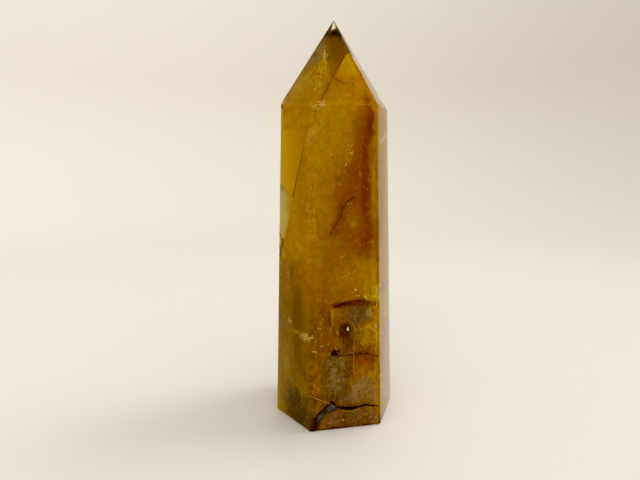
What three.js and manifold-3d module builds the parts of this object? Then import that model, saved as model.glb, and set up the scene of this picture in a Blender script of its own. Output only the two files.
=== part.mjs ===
// A polished six-sided crystal tower, ground from one piece of stone.
//
// Millimetres, +Z up. The tower stands on the XY plane, with the middle of its
// bounding box on the Z axis, and its broad front face looks along -Y.
//
// A blank is ground back one flat at a time, the way a lapidary works it: the
// base, six sides that lean inward as they rise, six faces of the point, and
// last a narrow bevel along every edge that two polished faces share.

import * as THREE from 'three';
import { mergeVertices } from 'three/addons/utils/BufferGeometryUtils.js';
import Module from 'manifold-3d';

const wasm = await Module();
wasm.setup();

// ---- Driving dimensions ----------------------------------------------------

const HEIGHT = 175;           // base to tip
const ACROSS_FLATS = 48.2;    // between opposite side faces, at the base
const SIDE_LEAN = 1.5;        // degrees that a side face leans inward
const POINT_SLOPE = 29.2;     // degrees between a face of the point and the upright
const POINT_AT = [-0.3, 0.1]; // where the point stands, off the middle of the base
const TIP_BLUNT = 0.4;        // height worn off the very tip
const EDGE_BEVEL = 0.35;      // width of the bevel along a side or point edge
const BASE_BEVEL = 0.7;       // width of the bevel around the base

// The six faces, in order around the tower, each a little off the regular
// hexagon because the tower was ground by hand.
//   azimuth  the way the side looks, in degrees from +X
//   foot     how far its foot stands outside the regular hexagon, in mm
//   lean     degrees added to SIDE_LEAN
//   slope    degrees added to POINT_SLOPE, on the face of the point above it
//   turn     degrees that this face of the point is turned from the side below
const FACES = [
  { azimuth: 270.0, foot: -1.25, lean: 0.0, slope: -1.7, turn: -0.5 },
  { azimuth: 330.0, foot: 1.15, lean: 0.1, slope: 1.2, turn: 0.2 },
  { azimuth: 29.3, foot: -0.5, lean: -0.1, slope: -0.2, turn: 0.0 },
  { azimuth: 90.0, foot: -0.2, lean: 0.0, slope: 0.0, turn: 0.0 },
  { azimuth: 149.9, foot: -0.25, lean: 0.2, slope: -0.2, turn: 0.0 },
  { azimuth: 209.4, foot: 0.75, lean: -0.1, slope: 1.1, turn: 3.2 },
];

// ---- Planes ----------------------------------------------------------------
// A THREE.Plane here keeps the stone on its inner side: its normal points out
// of the stone, and -constant is the plane's distance from the origin.

// The plane that looks along azimuth, tilted up by tilt, both in degrees.
function facePlane(azimuth, tilt, point) {
  const around = THREE.MathUtils.degToRad(azimuth);
  const up = THREE.MathUtils.degToRad(tilt);
  const normal = new THREE.Vector3(
    Math.cos(around) * Math.cos(up),
    Math.sin(around) * Math.cos(up),
    Math.sin(up),
  );
  return new THREE.Plane().setFromNormalAndCoplanarPoint(normal, point);
}

// A side face, through its foot on the base.
function sidePlane(face) {
  const around = THREE.MathUtils.degToRad(face.azimuth);
  const reach = ACROSS_FLATS / 2 + face.foot;
  const foot = new THREE.Vector3(reach * Math.cos(around), reach * Math.sin(around), 0);
  return facePlane(face.azimuth, SIDE_LEAN + face.lean, foot);
}

// A face of the point, through the apex that all six share.
function pointPlane(face) {
  const apex = new THREE.Vector3(POINT_AT[0], POINT_AT[1], HEIGHT + TIP_BLUNT);
  return facePlane(face.azimuth + face.turn, POINT_SLOPE + face.slope, apex);
}

// The bevel of a given width along the edge where two faces meet.
function bevelPlane(a, b, width) {
  const sum = a.normal.clone().add(b.normal);
  const length = sum.length();
  const depth = (width / 2) * Math.tan(a.normal.angleTo(b.normal) / 2);
  return new THREE.Plane(sum.divideScalar(length), (a.constant + b.constant) / length + depth);
}

// ---- Grinding --------------------------------------------------------------

// Turns a closed three.js geometry into a solid for cutting.
function toSolid(geometry) {
  const bare = geometry.clone();
  bare.deleteAttribute('normal');
  bare.deleteAttribute('uv');
  const merged = mergeVertices(bare);
  return new wasm.Manifold(new wasm.Mesh({
    numProp: 3,
    vertProperties: new Float32Array(merged.attributes.position.array),
    triVerts: new Uint32Array(merged.index.array),
  }));
}

// Turns a cut solid back into a three.js geometry.
function toGeometry(solid) {
  const mesh = solid.getMesh();
  const geometry = new THREE.BufferGeometry();
  geometry.setAttribute('position', new THREE.BufferAttribute(mesh.vertProperties, 3));
  geometry.setIndex(new THREE.BufferAttribute(mesh.triVerts, 1));
  geometry.computeVertexNormals();
  return geometry;
}

// Takes off everything outside a plane, with a block that lies on it.
function grind(stone, plane) {
  const size = 4 * HEIGHT;
  const block = new THREE.BoxGeometry(size, size, size);
  block.translate(0, 0, size / 2);
  const turn = new THREE.Quaternion().setFromUnitVectors(new THREE.Vector3(0, 0, 1), plane.normal);
  block.applyQuaternion(turn);
  const onPlane = plane.normal.clone().multiplyScalar(-plane.constant);
  block.translate(onPlane.x, onPlane.y, onPlane.z);
  return stone.subtract(toSolid(block));
}

// The sawn blank, larger than the tower all round.
function blank() {
  const box = new THREE.BoxGeometry(1.5 * ACROSS_FLATS, 1.5 * ACROSS_FLATS, 1.2 * HEIGHT);
  box.translate(0, 0, HEIGHT / 2);
  return toSolid(box);
}

function obeliskGeometry() {
  const base = new THREE.Plane(new THREE.Vector3(0, 0, -1), 0);
  const tip = new THREE.Plane(new THREE.Vector3(0, 0, 1), -HEIGHT);
  const sides = FACES.map(sidePlane);
  const points = FACES.map(pointPlane);

  const bevels = [];
  for (let i = 0; i < FACES.length; i += 1) {
    const next = (i + 1) % FACES.length;
    bevels.push(bevelPlane(sides[i], sides[next], EDGE_BEVEL));
    bevels.push(bevelPlane(points[i], points[next], EDGE_BEVEL));
    bevels.push(bevelPlane(sides[i], points[i], EDGE_BEVEL));
    bevels.push(bevelPlane(sides[i], base, BASE_BEVEL));
  }

  const stone = [base, tip, ...sides, ...points, ...bevels].reduce(grind, blank());
  const geometry = toGeometry(stone);
  geometry.computeBoundingBox();
  const middle = geometry.boundingBox.getCenter(new THREE.Vector3());
  geometry.translate(-middle.x, -middle.y, 0);
  return geometry;
}

// ---- The model -------------------------------------------------------------

const honeyStone = new THREE.MeshStandardMaterial({
  color: 0x9c6a1e,
  roughness: 0.12,
  metalness: 0,
});

const obelisk = new THREE.Mesh(obeliskGeometry(), honeyStone);
obelisk.name = 'obelisk';

const model = new THREE.Group();
model.add(obelisk);

export default model;
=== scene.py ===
# %% [markdown]
# # A polished stone obelisk
# The object is one piece of honey-coloured quartz: a tall six-sided post with a six-sided point, sawn,
# ground and polished. The stone is clear like strong tea, so what the eye sees is mostly inside it: an
# amber cloud, rusty and grey patches, cracks, pits and glints. This script keeps the exact block from
# CAD as the frame and builds the looks round it: a clear outer skin that bends light, and sealed inside
# it everything that gives the stone its colour. All places are given in millimetres on the block.

# %% Load the frame
import bpy
import random
from math import cos, pi, radians, sin
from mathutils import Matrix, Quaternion, Vector


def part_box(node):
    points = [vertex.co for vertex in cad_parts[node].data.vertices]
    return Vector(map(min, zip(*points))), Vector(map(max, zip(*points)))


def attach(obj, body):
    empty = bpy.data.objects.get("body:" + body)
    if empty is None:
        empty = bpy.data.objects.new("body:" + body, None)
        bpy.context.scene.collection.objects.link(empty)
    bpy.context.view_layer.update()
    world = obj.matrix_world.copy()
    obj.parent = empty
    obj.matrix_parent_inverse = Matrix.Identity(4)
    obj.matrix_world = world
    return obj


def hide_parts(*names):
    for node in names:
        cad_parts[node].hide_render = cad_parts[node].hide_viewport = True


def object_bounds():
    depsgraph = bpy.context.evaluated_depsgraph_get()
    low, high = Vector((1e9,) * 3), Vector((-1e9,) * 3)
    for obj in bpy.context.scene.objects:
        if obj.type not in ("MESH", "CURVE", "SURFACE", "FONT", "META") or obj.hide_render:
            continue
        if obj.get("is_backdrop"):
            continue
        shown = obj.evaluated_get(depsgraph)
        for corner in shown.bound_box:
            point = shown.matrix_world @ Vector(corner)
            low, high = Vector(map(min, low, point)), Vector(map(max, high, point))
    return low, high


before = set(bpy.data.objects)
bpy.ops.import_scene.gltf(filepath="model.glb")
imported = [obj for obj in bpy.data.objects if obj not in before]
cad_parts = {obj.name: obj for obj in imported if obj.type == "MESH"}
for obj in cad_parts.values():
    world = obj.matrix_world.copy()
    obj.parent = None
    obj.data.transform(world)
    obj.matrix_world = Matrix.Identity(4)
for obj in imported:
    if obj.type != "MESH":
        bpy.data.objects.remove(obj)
cad_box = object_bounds()
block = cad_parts["obelisk"]
low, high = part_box("obelisk")
HEIGHT = high.z - low.z
MM = 0.001
print("block from CAD, mm:", [round(size / MM, 1) for size in high - low])

# %% [markdown]
# ## Working as at the bench
# Every piece is modelled with the same operators a person clicks in the viewport. An operator acts on
# everything that is selected, so these helpers first clear the selection and then pick one object.

# %% Helpers for selecting and editing
def pick(piece):
    bpy.ops.object.select_all(action="DESELECT")
    piece.select_set(True)
    bpy.context.view_layer.objects.active = piece


def edit(piece):
    pick(piece)
    bpy.ops.object.mode_set(mode="EDIT")
    bpy.ops.mesh.select_all(action="SELECT")


def leave_edit():
    bpy.ops.object.mode_set(mode="OBJECT")


def apply_modifier(piece, kind, name, **settings):
    pick(piece)
    modifier = piece.modifiers.new(name, kind)
    for setting, value in settings.items():
        setattr(modifier, setting, value)
    bpy.ops.object.modifier_apply(modifier=modifier.name)


def cut(piece, point, outward):
    """Saws off what lies beyond a plane and closes the cut."""
    edit(piece)
    bpy.ops.mesh.bisect(plane_co=point, plane_no=outward, use_fill=True, clear_outer=True,
                        threshold=0.001 * MM)
    leave_edit()


def measure(piece):
    corners = [vertex.co for vertex in piece.data.vertices]
    spans = [max(co[axis] for co in corners) - min(co[axis] for co in corners) for axis in range(3)]
    sizes = " x ".join(f"{span / MM:.1f}" for span in spans)
    print(f"{piece.name}: {sizes} mm, {len(piece.data.polygons)} faces")


# %% [markdown]
# ## A clean copy of the block
# The block arrives as loose triangles. A copy of it is welded and its flat neighbours are dissolved, so
# that each ground face is one polygon again. The block itself is never touched: it stays the frame.

# %% Weld a copy of the block
def block_copy(name):
    piece = bpy.data.objects.new(name, block.data.copy())
    bpy.context.scene.collection.objects.link(piece)
    edit(piece)
    bpy.ops.mesh.remove_doubles(threshold=0.001 * MM)
    bpy.ops.mesh.dissolve_limited(angle_limit=radians(0.3))
    leave_edit()
    piece.data.materials.clear()
    return piece


stone = block_copy("polished_stone")
measure(stone)

# %% [markdown]
# ## The ground faces as places
# Features of the stone are easiest to place the way a person would with a ruler on the stone: so far
# across a face, so far up, and so far behind the polish. Each face's plane is read off the welded copy.
# Light that leaves a face slantwise is bent there, so a thing behind the polish looks shifted along the
# face. The slip of a face allows for that shift.

# %% Read the planes of the faces
ALIGNED = 0.98


class Face:
    """One ground face: places on it are given across, up and behind the polish, in millimetres."""

    def __init__(self, azimuth, tilt=0, slip=0.0):
        level = Vector((cos(radians(azimuth)), sin(radians(azimuth)), 0))
        outward = level * cos(radians(tilt)) + Vector((0, 0, sin(radians(tilt))))
        facing = [face for face in stone.data.polygons if face.normal.dot(outward) > ALIGNED]
        widest = max(facing, key=lambda face: face.area)
        self.normal = widest.normal.copy()
        self.offset = widest.normal.dot(widest.center)
        self.across = Vector((0, 0, 1)).cross(self.normal).normalized()
        self.level = Vector((self.normal.x, self.normal.y, 0))
        self.slip = slip
        corners = [stone.data.vertices[index].co.dot(self.across) / MM for index in widest.vertices]
        self.edges = (min(corners), max(corners))

    def at(self, across, up, behind=0.0):
        height = up * MM
        reach = (self.offset - self.normal.z * height) / self.level.length
        point = self.across * (across + self.slip * behind) * MM + self.level.normalized() * reach
        point.z = height
        return point - self.normal * behind * MM


front = Face(270)
left = Face(209.4, slip=-0.57)
right = Face(330, slip=0.7)
back = Face(90)
back_left = Face(149.9)
back_right = Face(29.3)
tip_front = Face(270, tilt=28)
tip_left = Face(212, tilt=30, slip=-0.5)
ground_planes = [(face.normal.copy(), face.normal.dot(face.center)) for face in stone.data.polygons]


def deep_inside(point, margin):
    """True where a point lies at least the margin behind every ground face."""
    return all(normal.dot(point) < offset - margin for normal, offset in ground_planes)


for name, face in (("front", front), ("left", left), ("right", right), ("back", back)):
    print(name, "face, across in mm:", [round(edge, 1) for edge in face.edges])

# %% [markdown]
# ## The polished skin
# On the real stone the grinding wheel leaves crisp edges that polishing only just rounds. A small bevel
# with a few segments does that: each edge catches a thin line of light instead of being a mathematical
# corner.

# %% Round the edges of the skin
EDGE_ROUNDING = 0.12 * MM
apply_modifier(stone, "BEVEL", "rounded edges", width=EDGE_ROUNDING, segments=3, limit_method="ANGLE",
               angle_limit=radians(12))
pick(stone)
bpy.ops.object.shade_smooth_by_angle(angle=radians(20))
measure(stone)

# %% [markdown]
# ## The amber cloud
# Nearly all of the stone is filled with a cloud of tiny inclusions, with a thin clear layer outside it.
# It ends at an old break that healed as the crystal grew: a flat plane that leans through the stone,
# with clear stone above and to the left of it. The cloud starts as a copy of the block, smaller all
# round, and is set a little towards the hidden left side. There the clear layer is thinnest, and on the
# back left the lumps come through the polish in places, by up to 0.28 mm: a flaw that is still to be
# mended, by sawing the cloud off behind the polish as the cracks are. The cloud is remeshed so that its
# skin can be pushed in and out. Soft lumps do this all over, and towards the foot, where the stone is
# crowded with crystals, a cell pattern makes small hollows and ridges. Two flat cuts follow: the healed
# break, and the sawn foot.

# %% Model the amber cloud
CLEAR_LAYER = 1.9 * MM
CORNER_LAYER = 0.6 * CLEAR_LAYER
CLOUD_HEIGHT = 0.988
CLOUD_SHIFT = (-0.7 * MM, 0.4 * MM, -1.4 * MM)
FOOT_GAP = 0.06 * MM
CROWDED_BELOW = 66 * MM
CROWDED_BLEND = 12 * MM
HEALED_BREAK_NORMAL = Vector((-0.843, 0.453, 0.290)).normalized()
HEALED_BREAK_POINT = left.at(0, 101.5)

lumps = bpy.data.textures.new("lumps", "CLOUDS")
lumps.noise_scale = 7 * MM
cells = bpy.data.textures.new("cells", "VORONOI")
cells.noise_scale = 3.2 * MM

cloud = block_copy("amber_cloud")
edit(cloud)
bpy.ops.transform.resize(value=(1 - CORNER_LAYER / high.x, 1 - CLEAR_LAYER / high.y, CLOUD_HEIGHT),
                         center_override=(0, 0, 0.1 * HEIGHT))
bpy.ops.transform.translate(value=CLOUD_SHIFT)
leave_edit()
apply_modifier(cloud, "REMESH", "even grid", mode="VOXEL", voxel_size=0.65 * MM, use_smooth_shade=True)
crowded = cloud.vertex_groups.new(name="crowded")
for vertex in cloud.data.vertices:
    share = min(1.0, max(0.0, (CROWDED_BELOW - vertex.co.z) / CROWDED_BLEND))
    crowded.add([vertex.index], share, "REPLACE")
apply_modifier(cloud, "DISPLACE", "lumps", texture=lumps, texture_coords="LOCAL", strength=0.5 * MM,
               mid_level=0.7)
apply_modifier(cloud, "DISPLACE", "crystals", texture=cells, texture_coords="LOCAL", strength=0.9 * MM,
               mid_level=0.45, vertex_group="crowded")
cut(cloud, HEALED_BREAK_POINT, HEALED_BREAK_NORMAL)
cut(cloud, Vector((0, 0, FOOT_GAP)), Vector((0, 0, -1)))
measure(cloud)

# %% [markdown]
# ## The smoky tip
# Beyond the healed break the point of the stone holds a second, darker cloud. It hangs over clear stone,
# leans on the healed break, and under the very apex it stops in two slanting planes, so the last few
# millimetres of the point are clear. It is made as the cloud is, and cut by those planes. The cuts come
# after the lumps, so that their rims stay thin and hard to see.

# %% Model the smoky tip
SMOKE_SHARE = (0.945, 0.935, 0.99)
SMOKE_FLOOR = Vector((0, 0, 132.5 * MM))
FLOOR_FACING = Vector((0.14, 0.08, -1))
OVERLAP = 0.5 * MM
CAP_RIGHT = Vector((-0.5, -2, 170.3)) * MM
CAP_RIGHT_FACING = Vector((-0.55, -0.1, 0.84))
CAP_LEFT = Vector((-3.5, -2, 166.6)) * MM
CAP_LEFT_FACING = Vector((-0.81, -0.1, 0.59))

smoke = block_copy("smoky_tip")
edit(smoke)
bpy.ops.transform.resize(value=SMOKE_SHARE, center_override=(0, 0, 0.6 * HEIGHT))
leave_edit()
apply_modifier(smoke, "REMESH", "even grid", mode="VOXEL", voxel_size=0.6 * MM, use_smooth_shade=True)
apply_modifier(smoke, "DISPLACE", "lumps", texture=lumps, texture_coords="LOCAL", strength=0.4 * MM,
               mid_level=0.75)
cut(smoke, SMOKE_FLOOR, FLOOR_FACING)
cut(smoke, HEALED_BREAK_POINT - HEALED_BREAK_NORMAL * OVERLAP, -HEALED_BREAK_NORMAL)
cut(smoke, CAP_RIGHT, CAP_RIGHT_FACING)
cut(smoke, CAP_LEFT, CAP_LEFT_FACING)
measure(smoke)

# %% [markdown]
# ## Colour made from nodes
# The colours inside the stone are painted with noise and soft patches, all worked out from the place of
# a point in the stone. These helpers add a node, wire it and hand back its output, so that each line
# below reads like one step on the node canvas.

# %% Node helpers
def new_material(name):
    material = bpy.data.materials.new(name)
    material.use_nodes = True
    tree = material.node_tree
    return material, tree, tree.nodes["Principled BSDF"], tree.nodes["Material Output"]


def feed(tree, socket, value):
    if isinstance(value, bpy.types.NodeSocket):
        tree.links.new(value, socket)
    elif isinstance(value, (int, float)):
        socket.default_value = value
    else:
        socket.default_value = tuple(value)


def add(tree, kind, inputs=None, **settings):
    node = tree.nodes.new("ShaderNode" + kind)
    for setting, value in settings.items():
        setattr(node, setting, value)
    for socket, value in (inputs or {}).items():
        feed(tree, node.inputs[socket], value)
    return node


def maths(tree, operation, first, second=0.0):
    return add(tree, "Math", {0: first, 1: second}, operation=operation).outputs["Value"]


def blend_colours(tree, factor, under, over, blend_type="MIX"):
    """Mixes two colours, which are the Mix node's inputs 6 and 7, and its output 2."""
    node = add(tree, "Mix", {0: factor, 6: under, 7: over}, data_type="RGBA", blend_type=blend_type)
    return node.outputs[2]


def smooth_step(tree, value, start, end, low=0.0, high=1.0):
    node = add(tree, "MapRange", {"Value": value, "From Min": start, "From Max": end, "To Min": low,
               "To Max": high}, interpolation_type="SMOOTHSTEP")
    return node.outputs["Result"]


def noise(tree, place, scale, detail=4.0, roughness=0.5):
    node = add(tree, "TexNoise", {"Vector": place, "Scale": scale, "Detail": detail,
               "Roughness": roughness})
    return node.outputs[0]


def new_group(name, inputs, outputs):
    group = bpy.data.node_groups.new(name, "ShaderNodeTree")
    for side, sockets in (("INPUT", inputs), ("OUTPUT", outputs)):
        for label, kind in sockets:
            group.interface.new_socket(label, in_out=side, socket_type="NodeSocket" + kind)
    entry = group.nodes.new("NodeGroupInput")
    result = group.nodes.new("NodeGroupOutput")
    return group, entry.outputs, result.inputs


def place_group(tree, group, inputs):
    node = tree.nodes.new("ShaderNodeGroup")
    node.node_tree = group
    for socket, value in inputs.items():
        feed(tree, node.inputs[socket], value)
    return node.outputs[0]


# %% [markdown]
# ## Shared effects
# Six effects come back in several finishes, so each is a group with its own inputs:
# - a place that wanders, so that no pattern has a ruled edge;
# - a place measured along a face, across it, behind it and up;
# - a soft patch, with an edge that crumbles;
# - crystals, as cells that are a little lighter or darker than their neighbours;
# - dust, as small round spots that are present in only some cells;
# - fibres, as fine upright streaks.

# %% Group: wandering place
wandering, given, gives = new_group(
    "wandering_place",
    [("Place", "Vector"), ("Scale", "Float"), ("Drift", "Float")],
    [("Place", "Vector")],
)
wander = add(wandering, "TexNoise", {"Vector": given["Place"], "Scale": given["Scale"], "Detail": 4.0,
             "Roughness": 0.6})
centred = add(wandering, "VectorMath", {0: wander.outputs["Color"], 1: (0.5, 0.5, 0.5)},
              operation="SUBTRACT")
drift = add(wandering, "VectorMath", {0: centred.outputs[0], "Scale": given["Drift"]}, operation="SCALE")
moved = add(wandering, "VectorMath", {0: given["Place"], 1: drift.outputs[0]}, operation="ADD")
wandering.links.new(moved.outputs[0], gives["Place"])

# %% Group: place along a face
along_face, given, gives = new_group(
    "place_along_face",
    [("Place", "Vector"), ("Across", "Vector"), ("Outward", "Vector")],
    [("Place", "Vector")],
)
across = add(along_face, "VectorMath", {0: given["Place"], 1: given["Across"]}, operation="DOT_PRODUCT")
outward = add(along_face, "VectorMath", {0: given["Place"], 1: given["Outward"]}, operation="DOT_PRODUCT")
up = add(along_face, "SeparateXYZ", {0: given["Place"]}).outputs["Z"]
measured = add(along_face, "CombineXYZ", {"X": across.outputs["Value"], "Y": outward.outputs["Value"],
               "Z": up})
along_face.links.new(measured.outputs[0], gives["Place"])

# %% Group: soft patch
soft_patch, given, gives = new_group(
    "soft_patch",
    [("Place", "Vector"), ("Centre", "Vector"), ("Reach", "Vector"), ("Softness", "Float"),
     ("Crumble", "Float"), ("Breakup", "Float")],
    [("Mask", "Float")],
)
away = add(soft_patch, "VectorMath", {0: given["Place"], 1: given["Centre"]}, operation="SUBTRACT")
scaled = add(soft_patch, "VectorMath", {0: away.outputs[0], 1: given["Reach"]}, operation="DIVIDE")
far = add(soft_patch, "VectorMath", {0: scaled.outputs[0]}, operation="LENGTH")
uneven = maths(soft_patch, "MULTIPLY", given["Crumble"], given["Breakup"])
rim = maths(soft_patch, "ADD", far.outputs["Value"], uneven)
outer = maths(soft_patch, "ADD", 1.0, given["Softness"])
inner = maths(soft_patch, "SUBTRACT", 1.0, given["Softness"])
soft_patch.links.new(smooth_step(soft_patch, rim, outer, inner), gives["Mask"])

# %% Group: crystals
crystals, given, gives = new_group(
    "crystals",
    [("Place", "Vector"), ("Scale", "Float"), ("Contrast", "Float")],
    [("Shade", "Float")],
)
upright = add(crystals, "Mapping", {"Vector": given["Place"], "Scale": (1, 1, 0.6)}).outputs[0]
finer = maths(crystals, "MULTIPLY", given["Scale"], 3.1)
large = add(crystals, "TexVoronoi", {"Vector": upright, "Scale": given["Scale"]}, feature="SMOOTH_F1")
small = add(crystals, "TexVoronoi", {"Vector": upright, "Scale": finer, "Smoothness": 0.4},
            feature="SMOOTH_F1")
large_tone = add(crystals, "SeparateColor", {0: large.outputs["Color"]}).outputs[0]
small_tone = add(crystals, "SeparateColor", {0: small.outputs["Color"]}).outputs[1]
tone = maths(crystals, "SUBTRACT", maths(crystals, "ADD", large_tone, small_tone), 1.0)
crystals.links.new(maths(crystals, "ADD", 1.0, maths(crystals, "MULTIPLY", tone, given["Contrast"])),
                   gives["Shade"])

# %% Group: dust
dust, given, gives = new_group(
    "bright_dust",
    [("Place", "Vector"), ("Scale", "Float"), ("Size", "Float"), ("Amount", "Float")],
    [("Mask", "Float")],
)
spots = add(dust, "TexVoronoi", {"Vector": given["Place"], "Scale": given["Scale"]})
chance = add(dust, "SeparateColor", {0: spots.outputs["Color"]})
chosen = maths(dust, "LESS_THAN", chance.outputs[0], given["Amount"])
round_spot = smooth_step(dust, spots.outputs["Distance"], given["Size"], 0.0)
varied = maths(dust, "MULTIPLY", round_spot, maths(dust, "ADD", 0.3, chance.outputs[1]))
dust.links.new(maths(dust, "MULTIPLY", varied, chosen), gives["Mask"])

# %% Group: fibres
fibres, given, gives = new_group(
    "fibres",
    [("Place", "Vector"), ("Scale", "Float"), ("Amount", "Float")],
    [("Mask", "Float")],
)
stretched = add(fibres, "Mapping", {"Vector": given["Place"], "Scale": (1, 1, 0.12)}).outputs[0]
strands = noise(fibres, stretched, given["Scale"], 3.0)
fibres.links.new(maths(fibres, "MULTIPLY", smooth_step(fibres, strands, 0.48, 0.70), given["Amount"]),
                 gives["Mask"])

# %% [markdown]
# ## The colours of the stone
# These are the colours of the solids inside the stone, as they would look without the clear honey layer
# over them. That layer takes away nearly all blue, so only the greyish and creamy ones need any.

# %% Colours
GOLD = (0.749, 0.450, 0.008)
AMBER = (0.668, 0.338, 0.006)
DEEP_AMBER = (0.590, 0.270, 0.005)
DULL_AMBER = (0.490, 0.232, 0.030)
RUST = (0.500, 0.175, 0.004)
DARK_RUST = (0.370, 0.095, 0.004)
DEEP_RUST = (0.250, 0.090, 0.003)
GOLDEN = (0.830, 0.520, 0.012)
BRIGHT_GOLD = (0.940, 0.640, 0.080)
OLIVE_GOLD = (0.600, 0.370, 0.006)
OLIVE = (0.400, 0.200, 0.004)
BROWN = (0.330, 0.155, 0.060)
DEEP_BROWN = (0.230, 0.100, 0.010)
ARCH_RED = (0.270, 0.100, 0.015)
MAUVE = (0.440, 0.285, 0.320)
UMBER = (0.420, 0.250, 0.300)
PALE_SPOT = (0.800, 0.560, 0.420)
TAN = (0.580, 0.370, 0.370)
ORANGE = (0.690, 0.330, 0.004)
BASE_RED = (0.480, 0.255, 0.285)
BASE_BROWN = (0.150, 0.078, 0.040)
LEFT_BAND = (0.290, 0.125, 0.004)
SMOKE = (0.010, 0.005, 0.003)
SPECKLE = (0.920, 0.740, 0.560)
PALE_TIP = (0.620, 0.440, 0.380)
DUSTY_GOLD = (0.860, 0.560, 0.240)
SMOKY_AMBER = (0.580, 0.310, 0.004)
SMOKY_BROWN = (0.310, 0.150, 0.004)
TIP_GOLD = (0.740, 0.440, 0.050)
TIP_TAN = (0.560, 0.330, 0.100)
MOSS_GOLD = (0.500, 0.310, 0.005)
STRAW = (0.800, 0.620, 0.120)
PALE_STRAW = (0.920, 0.800, 0.420)
DEEP_STRAW = (0.620, 0.460, 0.060)


# %% [markdown]
# ## Laying colour in zones
# The stone's patches are laid one over another, like thin washes: each has a colour, a middle, a reach,
# an edge that is soft or crisp, and an amount. A zone can also carry texture: pale speckles, upright
# fibres, or stronger crystals. The class below keeps the running colour and the three texture masks,
# and draws those textures when all the zones are down.

# %% Zones of colour
class Zones:
    """Soft-edged patches of colour and texture, laid one over another on a ground colour."""

    def __init__(self, tree, place, colour):
        self.tree = tree
        self.place = place
        self.colour = colour
        self.crumble = maths(tree, "SUBTRACT", noise(tree, place, 260, 6.0, 0.65), 0.5)
        self.speckled = 0.0
        self.fibrous = 0.0
        self.crowded = 0.0

    def on(self, face, behind=1.9):
        self.face = face
        self.behind = behind
        self.across = face.level.normalized().cross(Vector((0, 0, -1)))
        self.outward = face.level.normalized()
        self.measured = place_group(self.tree, along_face, {"Place": self.place, "Across": self.across,
                                    "Outward": self.outward})

    def most(self, mask, share, present):
        return maths(self.tree, "MAXIMUM", present, maths(self.tree, "MULTIPLY", mask, share))

    def lay(self, colour, middle, reach, amount=1.0, softness=0.5, depth=9.0, breakup=1.5, speckled=0.0,
            fibrous=0.0, crowded=0.0):
        point = self.face.at(*middle, self.behind)
        centre = (point.dot(self.across), point.dot(self.outward), point.z)
        mask = place_group(self.tree, soft_patch, {"Place": self.measured, "Centre": centre,
                           "Reach": (reach[0] * MM, depth * MM, reach[1] * MM), "Softness": softness,
                           "Crumble": self.crumble, "Breakup": breakup})
        if amount:
            strength = maths(self.tree, "MULTIPLY", mask, amount)
            self.colour = blend_colours(self.tree, strength, self.colour, (*colour, 1))
        if speckled:
            self.speckled = self.most(mask, speckled, self.speckled)
        if fibrous:
            self.fibrous = self.most(mask, fibrous, self.fibrous)
        if crowded:
            self.crowded = self.most(mask, crowded, self.crowded)

    def draw_fibres(self, place):
        strands = place_group(self.tree, fibres, {"Place": place, "Scale": 900, "Amount": self.fibrous})
        self.colour = blend_colours(self.tree, strands, self.colour, (*BRIGHT_GOLD, 1))

    def draw_crystals(self, place):
        tones = place_group(self.tree, crystals, {"Place": place, "Scale": 330, "Contrast": 0.6})
        shade = blend_colours(self.tree, self.crowded, (1, 1, 1, 1), tones)
        self.colour = blend_colours(self.tree, 1.0, self.colour, shade, "MULTIPLY")

    def draw_speckles(self, place):
        crumbs = place_group(self.tree, dust, {"Place": place, "Scale": 1500, "Size": 0.5, "Amount": 0.45})
        speckles = maths(self.tree, "MULTIPLY", crumbs, self.speckled)
        self.colour = blend_colours(self.tree, speckles, self.colour, (*SPECKLE, 1))

    def draw_grain(self, spot):
        grain = smooth_step(self.tree, noise(self.tree, spot, 420, 7.0, 0.72), 0.32, 0.68, 0.82, 1.12)
        self.colour = blend_colours(self.tree, 1.0, self.colour, grain, "MULTIPLY")

    def draw_dots(self, place, scale, size, amount, colour):
        dots = place_group(self.tree, dust, {"Place": place, "Scale": scale, "Size": size,
                           "Amount": amount})
        self.colour = blend_colours(self.tree, dots, self.colour, (*colour, 1))


# %% [markdown]
# ## The finish of the amber cloud
# The ground is gold that swirls into amber. Rust stains the side that faces away, as iron does along
# hidden cracks. Then come the washes, face by face: a broad brown band up the right of the front, dusty
# gold on its left, and a foot crowded with brown, grey and orange crystals. The cloud is matt: all the
# gloss of the stone is on its polished skin.

# %% Ground colour of the cloud
cloud_stuff, tree, skin, output = new_material("amber_cloud")
spot = add(tree, "TexCoord").outputs["Object"]
broad = place_group(tree, wandering, {"Place": spot, "Scale": 90, "Drift": 7 * MM})
fine = place_group(tree, wandering, {"Place": spot, "Scale": 260, "Drift": 2.5 * MM})
colour = blend_colours(tree, smooth_step(tree, noise(tree, broad, 45), 0.40, 0.62), (*AMBER, 1),
                       (*GOLD, 1))
away = smooth_step(tree, add(tree, "SeparateXYZ", {0: spot}).outputs["Y"], -0.010, 0.004)
stained = smooth_step(tree, noise(tree, broad, 30, 5.0), 0.54, 0.68)
colour = blend_colours(tree, maths(tree, "MULTIPLY", stained, away), colour, (*RUST, 1))
zones = Zones(tree, fine, colour)

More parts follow.
